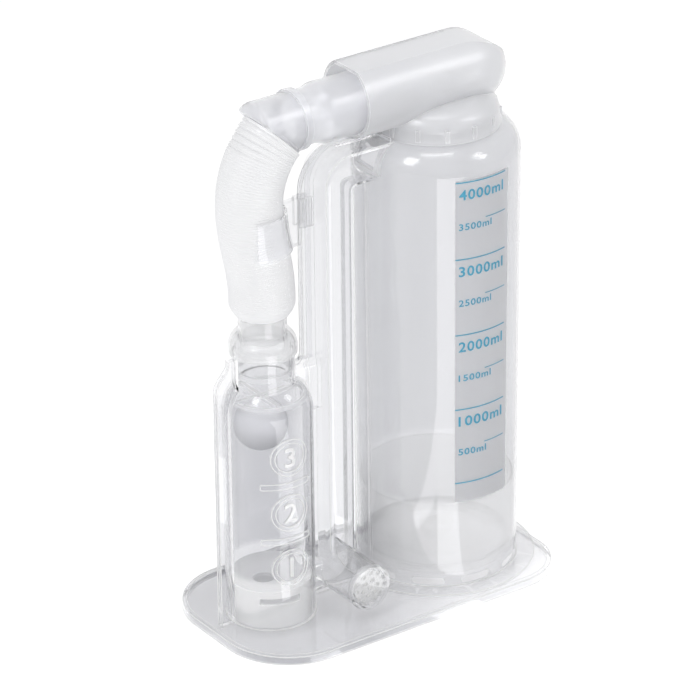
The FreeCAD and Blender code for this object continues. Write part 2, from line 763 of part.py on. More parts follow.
def hose_clip():
    """Clip: a sprung ring that follows the hose, on an arm that grips the duct's edge."""
    wire = hose_route()[0]
    inner = hose_r + fit
    hose_room = swept(wire, inner)
    band = sector(clip_hose_x, inner / 2, 2 * inner, clip_z, clip_z + clip_h, -clip_open, clip_open)
    ring = swept(wire, inner + clip_wall).common(band)
    arm_start = clip_hose_x + inner - clip_wall
    jaw_start = flange_x - fit - clip_wall
    arm = Part.makeBox(flange_x - fit - arm_start, 2 * clip_foot_t, clip_h + clip_drop,
                       V(arm_start, -clip_foot_t, clip_z - clip_drop))
    jaw_half = web_t / 2 + fit / 2 + clip_foot_t
    jaw_low = clip_z + clip_drop
    jaw_h = clip_h - clip_drop
    jaw = Part.makeBox(flange_x + clip_grip - jaw_start, 2 * jaw_half, jaw_h, V(jaw_start, -jaw_half, jaw_low))
    mouth = Part.makeBox(2 * clip_grip, web_t + fit, 2 * clip_h,
                         V(flange_x - fit, -(web_t + fit) / 2, clip_z - clip_h / 2))
    teeth = []
    for i in range(tooth_count):
        teeth.append(Part.makeCylinder(tooth_r, jaw_h, V(flange_x + tooth_r * (1 + 2 * i), -jaw_half, jaw_low)))
    return fused([ring, arm, jaw] + teeth).cut([mouth, hose_room])


def main():
    """Build every piece and write one file each."""
    os.makedirs("parts", exist_ok=True)
    whole = body()
    pieces = {
        "front_shell": half(whole, -1),
        "back_shell": half(whole, 1),
        "volume_cylinder": volume_cylinder(),
        "volume_scale": volume_scale(),
        "cylinder_lid": cylinder_lid(),
        "port_seal": port_seal(),
        "piston": piston(),
        "piston_rest": piston_rest(),
        "flow_ball": flow_ball(),
        "ball_seat": ball_seat(),
        "ball_stop": ball_stop(),
        "inlet_grille": inlet_grille(),
        "inlet_filter": inlet_filter(),
        "hose_connector": hose_connector(),
        "connector_seal": connector_seal(),
        "hose": hose(),
        "hose_elbow": hose_elbow(),
        "elbow_collar": elbow_collar(),
        "mouthpiece": mouthpiece(),
        "mouthpiece_holder": mouthpiece_holder(),
        "hose_clip": hose_clip(),
    }
    for name, shape in pieces.items():
        solids = shape.Solids
        assert solids and shape.isValid(), name
        if len(solids) == 1:
            shape = solids[0]
        shape.exportStep("parts/" + name + ".step")
        box = shape.BoundBox
        print(name, len(solids), "solid", round(shape.Volume / 1000, 2), "cm3",
              "x", round(box.XMin, 1), round(box.XMax, 1), "y", round(box.YMin, 1), round(box.YMax, 1),
              "z", round(box.ZMin, 1), round(box.ZMax, 1))


main()
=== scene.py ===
# %% [markdown]
# # Dressing a breathing trainer for its portrait
#
# The object is a volume trainer for breathing exercises: a clear moulded foot and air duct, a small chamber
# with a ball, a tall milky cylinder with a piston, and a white pleated hose that ends in a mouthpiece.
# Its solids come ready from CAD. This script gives each of them a finish, adds the pieces that CAD leaves
# plain, such as the pleats of the hose and the print of the scale, and sets up floor, lamps and camera.

import math

import bmesh
import bpy
import numpy as np
from mathutils import Matrix, Vector


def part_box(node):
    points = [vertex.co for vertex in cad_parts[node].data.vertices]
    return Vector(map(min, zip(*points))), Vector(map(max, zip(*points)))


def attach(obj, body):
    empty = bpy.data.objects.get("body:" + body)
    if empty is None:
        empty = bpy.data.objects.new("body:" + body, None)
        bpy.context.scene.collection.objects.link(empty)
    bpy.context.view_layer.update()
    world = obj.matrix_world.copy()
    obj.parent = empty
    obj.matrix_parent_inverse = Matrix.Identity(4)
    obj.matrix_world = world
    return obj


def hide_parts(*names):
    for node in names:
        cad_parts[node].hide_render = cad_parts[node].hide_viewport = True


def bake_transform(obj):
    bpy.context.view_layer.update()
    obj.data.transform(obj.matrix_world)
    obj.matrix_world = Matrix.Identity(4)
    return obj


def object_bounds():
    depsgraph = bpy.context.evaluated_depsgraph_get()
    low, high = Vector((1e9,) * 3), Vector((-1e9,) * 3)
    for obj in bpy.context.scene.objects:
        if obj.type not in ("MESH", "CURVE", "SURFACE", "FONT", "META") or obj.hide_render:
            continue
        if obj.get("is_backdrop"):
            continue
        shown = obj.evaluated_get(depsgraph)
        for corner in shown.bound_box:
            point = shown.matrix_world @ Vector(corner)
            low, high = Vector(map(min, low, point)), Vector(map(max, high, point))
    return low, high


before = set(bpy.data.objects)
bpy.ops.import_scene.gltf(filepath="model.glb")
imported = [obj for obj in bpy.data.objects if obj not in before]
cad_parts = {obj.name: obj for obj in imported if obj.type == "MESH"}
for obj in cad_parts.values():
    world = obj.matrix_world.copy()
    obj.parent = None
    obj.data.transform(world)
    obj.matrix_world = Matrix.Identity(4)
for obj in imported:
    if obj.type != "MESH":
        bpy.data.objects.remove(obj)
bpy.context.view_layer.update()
scene = bpy.context.scene
scene.view_settings.view_transform = "Standard"
MM = 0.001
plate_top = 0.0045      # upper face of the foot plate
cylinder_x = 0.0412     # the volume cylinder's upright axis

# %% [markdown]
# ## Shader sums in plain Python
#
# A finish is a small network of nodes. Written link by link, even a simple sum takes many lines. Two small
# classes help: `Signal` stands for the output of a node, and Python's own operators on it add Math nodes;
# `Finish` holds one material and adds any other node in one call.


# %% Signal: a socket that Python can reckon with
class Signal:
    """An output socket. a + b, a - b, a * b and a ** b each add one Math node and give its result."""

    def __init__(self, finish, socket):
        self.finish = finish
        self.socket = socket

    def maths(self, operation, *values, clamp=False):
        return self.finish.node("ShaderNodeMath", {"operation": operation, "use_clamp": clamp}, *values)

    def __add__(self, other):
        return self.maths("ADD", self, other)

    __radd__ = __add__

    def __sub__(self, other):
        return self.maths("SUBTRACT", self, other)

    def __rsub__(self, other):
        return self.maths("SUBTRACT", other, self)

    def __mul__(self, other):
        return self.maths("MULTIPLY", self, other)

    __rmul__ = __mul__

    def __pow__(self, other):
        return self.maths("POWER", self, other)

    def clamped(self):
        """The value, held between 0 and 1."""
        return self.maths("ADD", self, 0.0, clamp=True)

    def above(self, edge, gain):
        """(value - edge) * gain, held between 0 and 1."""
        return ((self - edge) * gain).clamped()

    def below(self, edge, gain):
        """(edge - value) * gain, held between 0 and 1."""
        return ((edge - self) * gain).clamped()

    def near(self, level, reach):
        """1 where the value lies within reach of level, otherwise 0."""
        return self.maths("LESS_THAN", self.maths("ABSOLUTE", self - level), reach)


# %% Finish: a material that is built by calls
class Finish:
    """One material with a Principled shader; constants are set on its sockets by name."""

    def __init__(self, name, **constants):
        self.material = bpy.data.materials.new(name)
        self.material.use_nodes = True
        self.tree = self.material.node_tree
        self.shader = self.tree.nodes["Principled BSDF"]
        self.skin = self.shader.outputs[0]
        self.end = self.tree.nodes["Material Output"].inputs["Surface"]
        for name, value in constants.items():
            self.shader.inputs[name.replace("_", " ")].default_value = value

    def feed(self, socket, value):
        """Give a socket a link or a plain value."""
        if isinstance(value, Signal):
            self.tree.links.new(value.socket, socket)
        else:
            socket.default_value = value

    def node(self, kind, settings=None, *values, output=0, **named):
        """Add a node: its settings first, then its sockets in order or by name; give back one output."""
        node = self.tree.nodes.new(kind)
        for key, value in (settings or {}).items():
            setattr(node, key, value)
        for i, value in enumerate(values):
            self.feed(node.inputs[i], value)
        for key, value in named.items():
            self.feed(node.inputs[key.replace("_", " ")], value)
        return Signal(self, node.outputs[output])

    def blend(self, share, first, second):
        """A colour that goes from first to second as share goes from 0 to 1."""
        mixed = self.node("ShaderNodeMix", {"data_type": "RGBA"}, output=2)
        node = mixed.socket.node
        for index, value in ((0, share), (6, first), (7, second)):
            self.feed(node.inputs[index], value)
        return mixed

    def place(self):
        """Where a point of the piece is, in metres."""
        return self.node("ShaderNodeTexCoord", output="Object")

    def along(self):
        """The point's x, y and z, each as a signal in metres."""
        split = self.node("ShaderNodeSeparateXYZ", None, self.place())
        return [Signal(self, socket) for socket in split.socket.node.outputs]

    def noise(self, size, stretch=(1, 1, 1), detail=3.0):
        """Cloudy values from 0 to 1 with patches of that size in metres, stretched along an axis."""
        spread = self.node("ShaderNodeMapping", None, self.place(), Scale=stretch)
        return self.node("ShaderNodeTexNoise", None, spread, Scale=1 / size, Detail=detail)

    def relief(self, height, depth, strength):
        """Turn a height signal into bumps of that depth in metres."""
        bump = self.node("ShaderNodeBump", None, Strength=strength, Distance=depth, Height=height)
        self.feed(self.shader.inputs["Normal"], bump)

    def set(self, **signals):
        """Feed sockets of the shader."""
        for name, value in signals.items():
            self.feed(self.shader.inputs[name.replace("_", " ")], value)

    def edges(self, radius):
        """1 on a sharp edge, 0 from radius metres away: 1 - rounded normal . plain normal."""
        rounded = self.node("ShaderNodeBevel", {"samples": 4}, radius)
        plain = self.node("ShaderNodeNewGeometry", output="Normal")
        product = {"operation": "DOT_PRODUCT"}
        return 1 - self.node("ShaderNodeVectorMath", product, rounded, plain, output="Value")

    def mixed(self, factor, first, second):
        """Mix Shader: first where factor is 0, second where it is 1; gives back its output socket."""
        mix = self.tree.nodes.new("ShaderNodeMixShader")
        self.feed(mix.inputs[0], factor)
        self.tree.links.new(first, mix.inputs[1])
        self.tree.links.new(second, mix.inputs[2])
        return mix.outputs[0]

    def bright_edges(self, radius, colour):
        """Painted highlight: a pale diffuse shader where the moulding has a sharp edge."""
        pale = self.node("ShaderNodeBsdfDiffuse", None, (*colour, 1))
        edge = (self.edges(radius) * 5).clamped()
        self.skin = self.mixed(edge, self.skin, pale.socket)

    def pass_light(self, share):
        """Let that share of the lamps' light through, so that clear plastic throws only a pale shadow."""
        is_shadow = self.node("ShaderNodeLightPath", output="Is Shadow Ray") * share
        hole = self.node("ShaderNodeBsdfTransparent")
        self.tree.links.new(self.mixed(is_shadow, self.skin, hole.socket), self.end)


# %% [markdown]
# ## Plastics that light goes through
#
# Nearly every piece is a thin moulding of clear or milky plastic, and light passes a thin wall almost
# straight. So the shader transmits with an index of refraction close to 1, and a coat with an index of 1.5
# gives the sheen. Two colours are mixed by Layer Weight: one for a wall seen square on, and a paler one for
# the rim, where the eye looks along the wall, which is a painted sheen. Moulded edges are rounded over, and a
# pale diffuse shader takes over where the Bevel node's rounded normal leans away from the plain one: a
# painted highlight along each edge.


# %% See-through plastics
def clear_plastic(name, face, rim, clear, roughness, haze, ior, lets,
                  gloss=0.03, edge=0.0004, mottle=0.06, hidden=None):
    """Moulded plastic whose colours are face and rim, the rim's paler colour a painted sheen where the wall
    is seen aslant; clear is the share it transmits, lets the share of the lamps' light that passes it, and
    hidden gives the faces that are left see-through."""
    plastic = Finish(name, Transmission_Weight=clear, IOR=ior,
                     Coat_Weight=1.0, Coat_Roughness=gloss, Coat_IOR=1.5)
    aslant = plastic.node("ShaderNodeLayerWeight", None, 0.5, output="Facing") ** 1.6
    cloud = plastic.noise(0.018, (1, 1, 0.35))
    square_on = face(plastic) if callable(face) else (*face, 1)
    # Painted sheen: Layer Weight moves the colour to the paler rim on walls seen aslant.
    tint = plastic.blend((aslant + (cloud - 0.5) * mottle).clamped(), square_on, (*rim, 1))
    handled = plastic.noise(0.006, detail=5.0) ** 2
    plastic.set(Base_Color=tint, Roughness=handled * haze + roughness)
    ripple = plastic.noise(0.012, (1, 1, 0.25), 1.0)
    plastic.relief(ripple, 0.00003, 0.35)
    if hidden:
        plastic.set(Alpha=1 - hidden(plastic))
    # Painted highlight along the moulding's sharp edges.
    plastic.bright_edges(edge, (0.93, 0.932, 0.94))
    plastic.pass_light(lets)
    return plastic.material


# %% Where a plastic changes
def welded(plastic):
    """1 on the faces where the two body halves are welded, 0.05 mm either side of the plane y = 0."""
    y = plastic.along()[1]
    return y.near(0.0, 0.00006)


def foot_joint(plastic):
    """1 on the flat faces that lie on the foot plate."""
    z = plastic.along()[2]
    return z.near(plate_top, 0.00003)


def cylinder_tint(plastic):
    """The cylinder's colour by height, with painted light: paler at its foot, where the white piston rests.
    """
    z = plastic.along()[2]
    # Painted light: below 52 mm the wall is paler.
    return plastic.blend(z.below(0.052, 200), (0.81, 0.813, 0.83, 1), (0.95, 0.952, 0.965, 1))


def body_tint(plastic):
    """The body's colour by place, with painted light and shade: foot paler, chamber darker, plate darker,
    most on its left.
    """
    x, _, z = plastic.along()
    # Painted shade: the chamber's lower wall is darker.
    chamber = x.below(-0.0325, 300) * z.below(0.124, 100) * z.above(0.028, 300)
    plate = z.below(0.0052, 2000)
    # Painted light: the body's foot is paler.
    foot = z.below(0.031, 300)
    plain = plastic.blend(foot, (0.86, 0.862, 0.875, 1), (0.96, 0.962, 0.97, 1))
    walls_with_painted_shade = plastic.blend(chamber, plain, (0.69, 0.692, 0.715, 1))
    # Painted shade on the plate, deepest on its left side.
    right = x.above(-0.03, 12)
    plate_painted_shade = plastic.blend(right, (0.42, 0.422, 0.445, 1), (0.74, 0.74, 0.755, 1))
    return plastic.blend(plate, walls_with_painted_shade, plate_painted_shade)


# %% The plastics, in the order of clear_plastic's own parameters
# The rim colours, here and below, are a painted sheen on walls seen aslant.
white, soft_rim_sheen = (1.0, 1.0, 1.0), (0.93, 0.932, 0.945)
body_clear = clear_plastic("glassy_styrene", body_tint, white, 1.0, 0.02, 0.05, 1.08, 0.97, hidden=welded)
cylinder_milk = clear_plastic("milky_polypropylene", cylinder_tint, (0.83, 0.833, 0.85),
                              0.85, 0.06, 0.04, 1.05, 0.98, gloss=0.09, hidden=foot_joint)
piston_milk = clear_plastic("frosted_piston", white, white, 0.85, 0.14, 0.04, 1.04, 1.0, mottle=0.0)
mouth_milk = clear_plastic("soft_clear_polyethylene", (0.86, 0.863, 0.885), soft_rim_sheen,
                           0.7, 0.10, 0.06, 1.08, 0.9, gloss=0.30, edge=0.0003)
holder_milk = clear_plastic("milky_holder", (0.83, 0.833, 0.85), soft_rim_sheen,
                            0.6, 0.14, 0.06, 1.08, 0.94, gloss=0.30, edge=0.0003, mottle=0.02)
connector_milk = clear_plastic("connector_plastic", (0.93, 0.932, 0.94), (0.97, 0.972, 0.98),
                               0.75, 0.10, 0.06, 1.04, 0.9, gloss=0.20, edge=0.0002)
clip_clear = clear_plastic("clip_plastic", (0.90, 0.902, 0.915), (0.96, 0.962, 0.97),
                           0.85, 0.05, 0.06, 1.08, 0.94)
seat_frost = clear_plastic("frosted_insert", white, white, 0.55, 0.12, 0.10, 1.06, 1.0,
                           mottle=0.0, hidden=foot_joint)
seal_soft = clear_plastic("soft_seal", (0.95, 0.95, 0.96), (0.95, 0.95, 0.96), 0.45, 0.40, 0.10, 1.06, 0.9)
# White for beads that paint highlights along edges, for the marks' ridges and for the numerals.
painted_highlight_white = clear_plastic("highlight_white_plastic", white, white, 0.3, 0.20, 0.10, 1.1, 0.9, mottle=0.0)
print("see-through finishes", len(bpy.data.materials))

# %% [markdown]
# ## Plastics that scatter light
#
# The hose, the ball and the film with the scale are white and scatter what falls on them. Their surface is
# never quite even: a fine grain from the mould, and a cloudiness where the wall is thinner. Both come from
# noise on the piece's own place in space.


# %% White plastics
def white_plastic(name, pale, deep, roughness, grain, clear=0.0, lets=0.0, patch=0.010):
    """Scattering plastic whose colour drifts between two whites, with a fine mould grain of that depth."""
    plastic = Finish(name, Transmission_Weight=clear, IOR=1.45)
    cloud = plastic.noise(patch)
    fine = plastic.noise(0.0007, detail=2.0)
    plastic.set(Base_Color=plastic.blend(cloud, (*pale, 1), (*deep, 1)), Roughness=fine * 0.12 + roughness)
    plastic.relief(fine, grain, 0.6)
    if lets:
        plastic.pass_light(lets)
    return plastic.material


hose_white = white_plastic("hose_vinyl", (0.89, 0.893, 0.905), (0.85, 0.853, 0.87), 0.42, 0.00002)
ball_white = white_plastic("ball_plastic", (0.96, 0.962, 0.97), (0.94, 0.942, 0.955), 0.35, 0.00001, 0.1, 0.3)
film_white = white_plastic("matte_film", (0.85, 0.853, 0.87), (0.83, 0.833, 0.85), 0.5, 0.00001, 0.80, 0.8)
felt_white = white_plastic("filter_felt", (0.85, 0.85, 0.84), (0.70, 0.70, 0.69), 0.9, 0.0002, patch=0.0012)


# %% [markdown]
# The print of the scale is a thin layer of blue ink, a little uneven where the screen left less of it.


# %% Ink
def ink(name, full, thin):
    """Screen-printed ink that is thinner in small patches."""
    print_ink = Finish(name, IOR=1.45)
    worn = (print_ink.noise(0.0009, detail=4.0) - 0.45) * 3
    print_ink.set(Base_Color=print_ink.blend(worn.clamped(), (*full, 1), (*thin, 1)),
                  Roughness=worn.clamped() * 0.1 + 0.4)
    return print_ink.material


scale_ink = ink("scale_ink", (0.05, 0.33, 0.50), (0.10, 0.41, 0.58))

# %% [markdown]
# ## Finishes on the CAD pieces
#
# A CAD node whose shape is right stays as it is and only gets its finish.

# %% Give each node its finish
finishes = {
    body_clear: ["front_shell", "back_shell"],
    cylinder_milk: ["volume_cylinder", "cylinder_lid"],
    piston_milk: ["piston", "piston_rest"],
    connector_milk: ["hose_connector"],
    mouth_milk: ["hose_elbow", "elbow_collar", "mouthpiece"],
    holder_milk: ["mouthpiece_holder"],
    clip_clear: ["hose_clip", "inlet_grille"],
    seat_frost: ["ball_seat", "ball_stop"],
    seal_soft: ["connector_seal", "port_seal"],
    ball_white: ["flow_ball"],
    film_white: ["volume_scale"],
    felt_white: ["inlet_filter"],
}
for material, names in finishes.items():
    for name in names:
        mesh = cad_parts[name].data
        mesh.materials.clear()
        mesh.materials.append(material)
print("dressed", sum(len(names) for names in finishes.values()), "nodes")

# %% [markdown]
# ## Surfaces from arrays
#
# The pieces that CAD leaves plain are worked out here as grids of points. A grid of rows and columns becomes
# one quad for each cell. Each row closes on itself, as round a tube, and the last row can join the first.


# %% Mesh from a grid
def quads_of(grid, close_rows=False):
    """Quads of a (rows, columns, 3) grid. They are turned so that the volume they hold, which goes with the
    sum of a . (b x c + c x d) over the quads a, b, c, d, is positive."""
    rows, columns = grid.shape[:2]
    index = np.arange(rows * columns).reshape(rows, columns)
    index = np.vstack([index, index[:1]]) if close_rows else index
    index = np.hstack([index, index[:, :1]])
    quads = np.stack([index[:-1, :-1], index[:-1, 1:], index[1:, 1:], index[1:, :-1]], -1).reshape(-1, 4)
    a, b, c, d = (grid.reshape(-1, 3)[quads[:, i]] for i in range(4))
    if np.einsum("ij,ij->i", a, np.cross(b, c) + np.cross(c, d)).sum() < 0:
        quads = quads[:, ::-1]
    return quads.tolist()


def piece(name, points, faces, smooth=True):
    """Object at the origin with these points and faces."""
    mesh = bpy.data.meshes.new(name)
    mesh.from_pydata(np.asarray(points).tolist(), [], faces)
    mesh.polygons.foreach_set("use_smooth", np.full(len(mesh.polygons), smooth))
    obj = bpy.data.objects.new(name, mesh)
    scene.collection.objects.link(obj)
    return obj


def finished(obj, material, body, slot, *nodes):
    """Give a piece its finish, let it ride on a body, and let it stand for CAD nodes."""
    obj.data.materials.append(material)
    if body:
        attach(obj, body)
    if nodes:
        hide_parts(*nodes)
    print(obj.name, len(obj.data.polygons), "faces")


# %% [markdown]
# ## The pleated hose
#
# The hose rises from the neck, bows away from the duct and bends over to the elbow. A tube along a curve with
# a bevel would be smooth. Here each ring's radius follows a rounded wave along the centre line, one wave for
# each pleat, and the pleats open on the outside of the bend, where the wall is stretched. The centre line
# lies in one plane, so a ring needs only the direction across it and the y axis.

# %% Centre line
hose_x, hose_low, hose_straight = -0.0553, 0.1575, 0.008
bow_x, bow_z = hose_x - 0.0059, 0.2116
bend_r, bend_angle = 0.0433, math.radians(45)
hose_r, hose_bore_r = 0.0152, 0.0122


def hose_line(steps):
    """Points (x, z) along the hose: a straight run, a Bezier lean, then an arc, evenly spaced."""
    rise = np.linspace(0, 1, 200)[:, None]
    start, upright = np.array([hose_x, hose_low]), np.array([hose_x, hose_low + hose_straight])
    bow = np.array([bow_x, bow_z])
    pull = np.array([0, (bow_z - upright[1]) / 2.5])
    lean = ((1 - rise) ** 3 * upright + 3 * (1 - rise) ** 2 * rise * (upright + pull)
            + 3 * (1 - rise) * rise ** 2 * (bow - pull) + rise ** 3 * bow)
    turn = rise * bend_angle
    arc = bow + bend_r * np.hstack([1 - np.cos(turn), np.sin(turn)])
    line = np.vstack([start + rise * (upright - start), lean[1:], arc[1:]])
    along = np.r_[0, np.cumsum(np.linalg.norm(np.diff(line, axis=0), axis=1))]
    even = np.linspace(0, along[-1], steps)
    return np.stack([np.interp(even, along, line[:, i]) for i in (0, 1)], -1), even


pleat_pitch = 0.00112
samples_per_pleat = 6
hose_length = hose_line(2)[1][-1]
pleats = round(hose_length / pleat_pitch)
line, along = hose_line(pleats * samples_per_pleat + 1)
print("hose", round(hose_length / MM, 1), "mm,", pleats, "pleats")


# %% Rings
def hose_rings(radius_at, sides=72):
    """Grid of rings: centre + radius * (cos a * across + sin a * y), with a radius for each (row, side)."""
    way = np.gradient(line, axis=0)
    way /= np.linalg.norm(way, axis=1, keepdims=True)
    across = np.stack([-way[:, 1], way[:, 0]], -1)
    angle = np.arange(sides) * 2 * np.pi / sides
    radius = radius_at(along[:, None], angle[None, :])
    x = line[:, :1] + radius * np.cos(angle) * across[:, :1]
    z = line[:, 1:] + radius * np.cos(angle) * across[:, 1:]
    return np.stack([x, radius * np.sin(angle) * np.ones_like(x), z], -1)


pleat_depth, bend_depth, bore_depth = 0.00017, 0.00022, 0.0002
bend_from, bend_fade = 0.055, 0.02                      # where the pleats begin to open, and over what length
foot_draw, foot_length = 0.0028, 0.0056                 # the foot is drawn in to the connector
steps_length, steps_fade = 0.0125, 0.002                # opened steps at the upper end
step_pitch, step_depth = 0.0025, 0.0010


def wave(s):
    """0.5 - 0.5 cos of one turn for each pleat: 0 on a crest, 1 in a dip."""
    return 0.5 - 0.5 * np.cos(2 * np.pi * (s / hose_length * pleats))


def pleated(s, angle):
    """Outer radius: full less a rounded dip each pitch, deeper outside the bend, drawn in at the foot, and
    with steps like saw teeth outside the upper end."""
    outer = 0.5 + 0.5 * np.cos(angle)
    bent = np.clip((s - bend_from) / bend_fade, 0, 1) * outer
    depth = pleat_depth + bend_depth * bent
    foot = foot_draw * np.clip(1 - s / foot_length, 0, 1) ** 1.6
    upper = np.clip((s - (hose_length - steps_length)) / steps_fade, 0, 1) * outer ** 2
    step = np.mod(s, step_pitch) / step_pitch
    return hose_r - depth * wave(s) - foot - step_depth * upper * step


def bored(s, angle):
    """Inner radius: the same pitch, and the same all round."""
    return hose_bore_r - bore_depth * wave(s) + 0 * angle


rings = np.concatenate([hose_rings(pleated), hose_rings(bored)[::-1]])
hose = piece("pleated_hose", rings.reshape(-1, 3), quads_of(rings, close_rows=True))
finished(hose, hose_white, None, "white_hose", "hose")
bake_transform(hose)

# %% [markdown]
# ## The volume scale
#
# The scale is printed on the film that is wrapped round the front of the cylinder. Numbers are text, made
# into a mesh and then wrapped: a letter's x becomes an angle, its y a height. Lines are small grids on the
# same cylinder.

# %% The film's own measures
foot_radius, radius_gain = 0.0379, (0.0389 - 0.0379) / 0.2085
film_out = 0.00031
zero_z, litre_z = 0.05987, 0.03802                      # height of the zero mark, and between two litres


def film_radius(z):
    """Radius of the printed face at a height."""
    return foot_radius + radius_gain * (z - plate_top) + film_out


def wrapped(angle, z, proud):
    """Points on the film: angles in degrees, heights and how far each stands off."""
    angle = np.radians(angle)
    radius = film_radius(z) + proud
    return np.stack([cylinder_x + radius * np.cos(angle), radius * np.sin(angle), z], -1)


def scale_line(level, start, stop, thick):
    """One printed line as a flat ring of four edges swept from start to stop."""
    angle = np.linspace(start, stop, 33)[:, None]
    z = zero_z + level * litre_z + np.array([-0.5, 0.5, 0.5, -0.5])[None, :] * thick
    proud = np.array([-0.00006, -0.00006, 0.00004, 0.00004])[None, :]
    return wrapped(angle + 0 * z, z + 0 * angle, proud)


# %% Lines of the scale
def capped(grid):
    """(points, faces) of a tube grid with its two ends closed by a face each."""
    rows, columns = grid.shape[:2]
    last = np.arange(columns) + (rows - 1) * columns
    return grid.reshape(-1, 3), quads_of(grid) + [list(range(columns)), last[::-1].tolist()]


def joined(name, parts):
    """One piece from several (points, faces) pairs, its doubles merged and every face turned outwards."""
    faces, count = [], 0
    for points, some_faces in parts:
        faces += [[i + count for i in face] for face in some_faces]
        count += len(points)
    obj = piece(name, np.vstack([points for points, _ in parts]), faces, smooth=False)
    soft = bmesh.new()
    soft.from_mesh(obj.data)
    bmesh.ops.remove_doubles(soft, verts=soft.verts, dist=1e-7)
    bmesh.ops.recalc_face_normals(soft, faces=soft.faces)
    soft.to_mesh(obj.data)
    soft.free()
    return obj


major_from, minor_from, marks_to = -113.0, -91.0, -73.3
lines = [capped(scale_line(i, major_from, marks_to, 0.00055)) for i in range(5)]
lines += [capped(scale_line(i + 0.5, minor_from, marks_to, 0.00038)) for i in range(4)]
finished(joined("scale_lines", lines), scale_ink, "body", "scale_film")


# %% Numbers of the scale
def letters(words, bold, spacing, curve_steps):
    """Text as flat points with a thickness of 1, and its faces."""
    data = bpy.data.curves.new("text", "FONT")
    data.body = words
    data.offset = bold
    data.space_character = spacing
    data.extrude = 0.5
    data.resolution_u = curve_steps
    text = bpy.data.objects.new("text", data)
    scene.collection.objects.link(text)
    bpy.context.view_layer.update()
    mesh = bpy.data.meshes.new_from_object(text)
    points = np.array([v.co for v in mesh.vertices])
    faces = [list(p.vertices) for p in mesh.polygons]
    bpy.data.objects.remove(text)
    return points, faces


words_from, print_thick = -110.6, 0.00005


def lettering(words, height, width, top, bold):
    """Words on the film, the letters height tall and the word width wide, hung below top."""
    flat, faces = letters(words, bold, 1.12, 3)
    unit = (flat - flat.min(0)) / (flat.max(0) - flat.min(0))
    z = top - height * (1 - unit[:, 1])
    angle = words_from + np.degrees(unit[:, 0] * width / film_radius(top))
    return wrapped(angle, z, (unit[:, 2] - 0.5) * 2 * print_thick), faces


numbers = []
for i in range(1, 5):
    level = zero_z + i * litre_z
    numbers.append(lettering(f"{i}000ml", 0.0051, 0.0240, level - 0.0036, 0.015))
    small = i * 1000 - 500
    width = 0.0167 if small > 999 else 0.0142           # 500 has one figure less
    numbers.append(lettering(f"{small}ml", 0.0033, width, level - 0.5 * litre_z - 0.0013, 0.012))
finished(joined("scale_numbers", numbers), scale_ink, "body", "scale_film")

# %% [markdown]
# ## Numerals in the three rings
#
# The ball chamber carries three moulded rings, one for each step of effort. Each holds a plain raised
# numeral on the clear wall, painted bright in the same white as the beads that paint the edges' highlights.

# %% Raised numerals
seat_low, seat_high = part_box("ball_seat")
chamber_x, chamber_r = (seat_low.x + seat_high.x) / 2, (seat_high.x - seat_low.x) / 2 + 0.0017
ring_heights, ring_angle = (0.0365, 0.0647, 0.0929), -96.3
numeral_height, numeral_sunk, mark_proud = 0.0098, 0.0003, 0.0006


def numeral(digit, z):
    """A raised figure on the chamber wall: x becomes an angle round the chamber, thickness a radius."""
    flat, faces = letters(digit, 0.01, 1.0, 4)
    low, high = flat.min(0), flat.max(0)
    scale = numeral_height / (high[1] - low[1])
    x = (flat[:, 0] - (low[0] + high[0]) / 2) * scale
    up = (flat[:, 1] - (low[1] + high[1]) / 2) * scale
    radius = chamber_r - numeral_sunk + (flat[:, 2] + 0.5) * (mark_proud + numeral_sunk)
    angle = np.radians(ring_angle) + x / chamber_r
    return np.stack([chamber_x + radius * np.cos(angle), radius * np.sin(angle), z + up], -1), faces


for step, z in enumerate(ring_heights, 1):
    finished(joined(f"numeral_{step}", [numeral(str(step), z)]), painted_highlight_white, "body", "clear_body")

# %% [markdown]
# ## Rounded edges as painted highlights
#
# Every edge of the clear mouldings is rounded over, and such a thin round catches light from all sides. On a
# photograph it is the brightest line of the part. That line is a painted highlight here: a thin white bead, a
# small circle carried along the edge's own line, half sunk in the wall.


# %% Beads
def bead(path, radius, closed=True, sides=8):
    """Tube along a path: point + radius * (cos a * side + sin a * other), both square to the path."""
    if closed:
        way = np.roll(path, -1, 0) - np.roll(path, 1, 0)
    else:
        way = np.gradient(path, axis=0)
    way /= np.linalg.norm(way, axis=1, keepdims=True)
    steep = np.abs(way[:, 2:]) > 0.9
    in_upright_plane = np.abs(way[:, 1]).max() < 1e-6
    guide = np.where(steep | in_upright_plane, [[0.0, 1.0, 0.0]], [[0.0, 0.0, 1.0]])
    side = np.cross(way, guide)
    side /= np.linalg.norm(side, axis=1, keepdims=True)
    other = np.cross(side, way)
    a = (np.arange(sides) * 2 * np.pi / sides)[None, :, None]
    grid = path[:, None] + radius * (np.cos(a) * side[:, None] + np.sin(a) * other[:, None])
    return (grid.reshape(-1, 3), quads_of(grid, close_rows=True)) if closed else capped(grid)


def rounded(corners, steps=10):
    """Line through corners (u, v, r): each corner is an arc of radius r that touches both of its runs."""
    points = []
    for i, (u, v, r) in enumerate(corners):
        here = np.array([u, v])
        if r == 0:
            points.append(here[None])
            continue
        before, after = (np.array(corners[(i + k) % len(corners)][:2]) - here for k in (-1, 1))
        before, after = before / np.linalg.norm(before), after / np.linalg.norm(after)
        half_angle = math.acos(float(before @ after)) / 2
        centre = here + (before + after) / np.linalg.norm(before + after) * r / math.sin(half_angle)
        start, stop = (here + way * r / math.tan(half_angle) - centre for way in (before, after))
        t = np.linspace(0, 1, steps)[:, None]
        turn = math.acos(max(-1.0, min(1.0, float(start @ stop) / r ** 2)))
        points.append(centre + (np.sin((1 - t) * turn) * start + np.sin(t * turn) * stop) / math.sin(turn))
    return np.vstack(points)


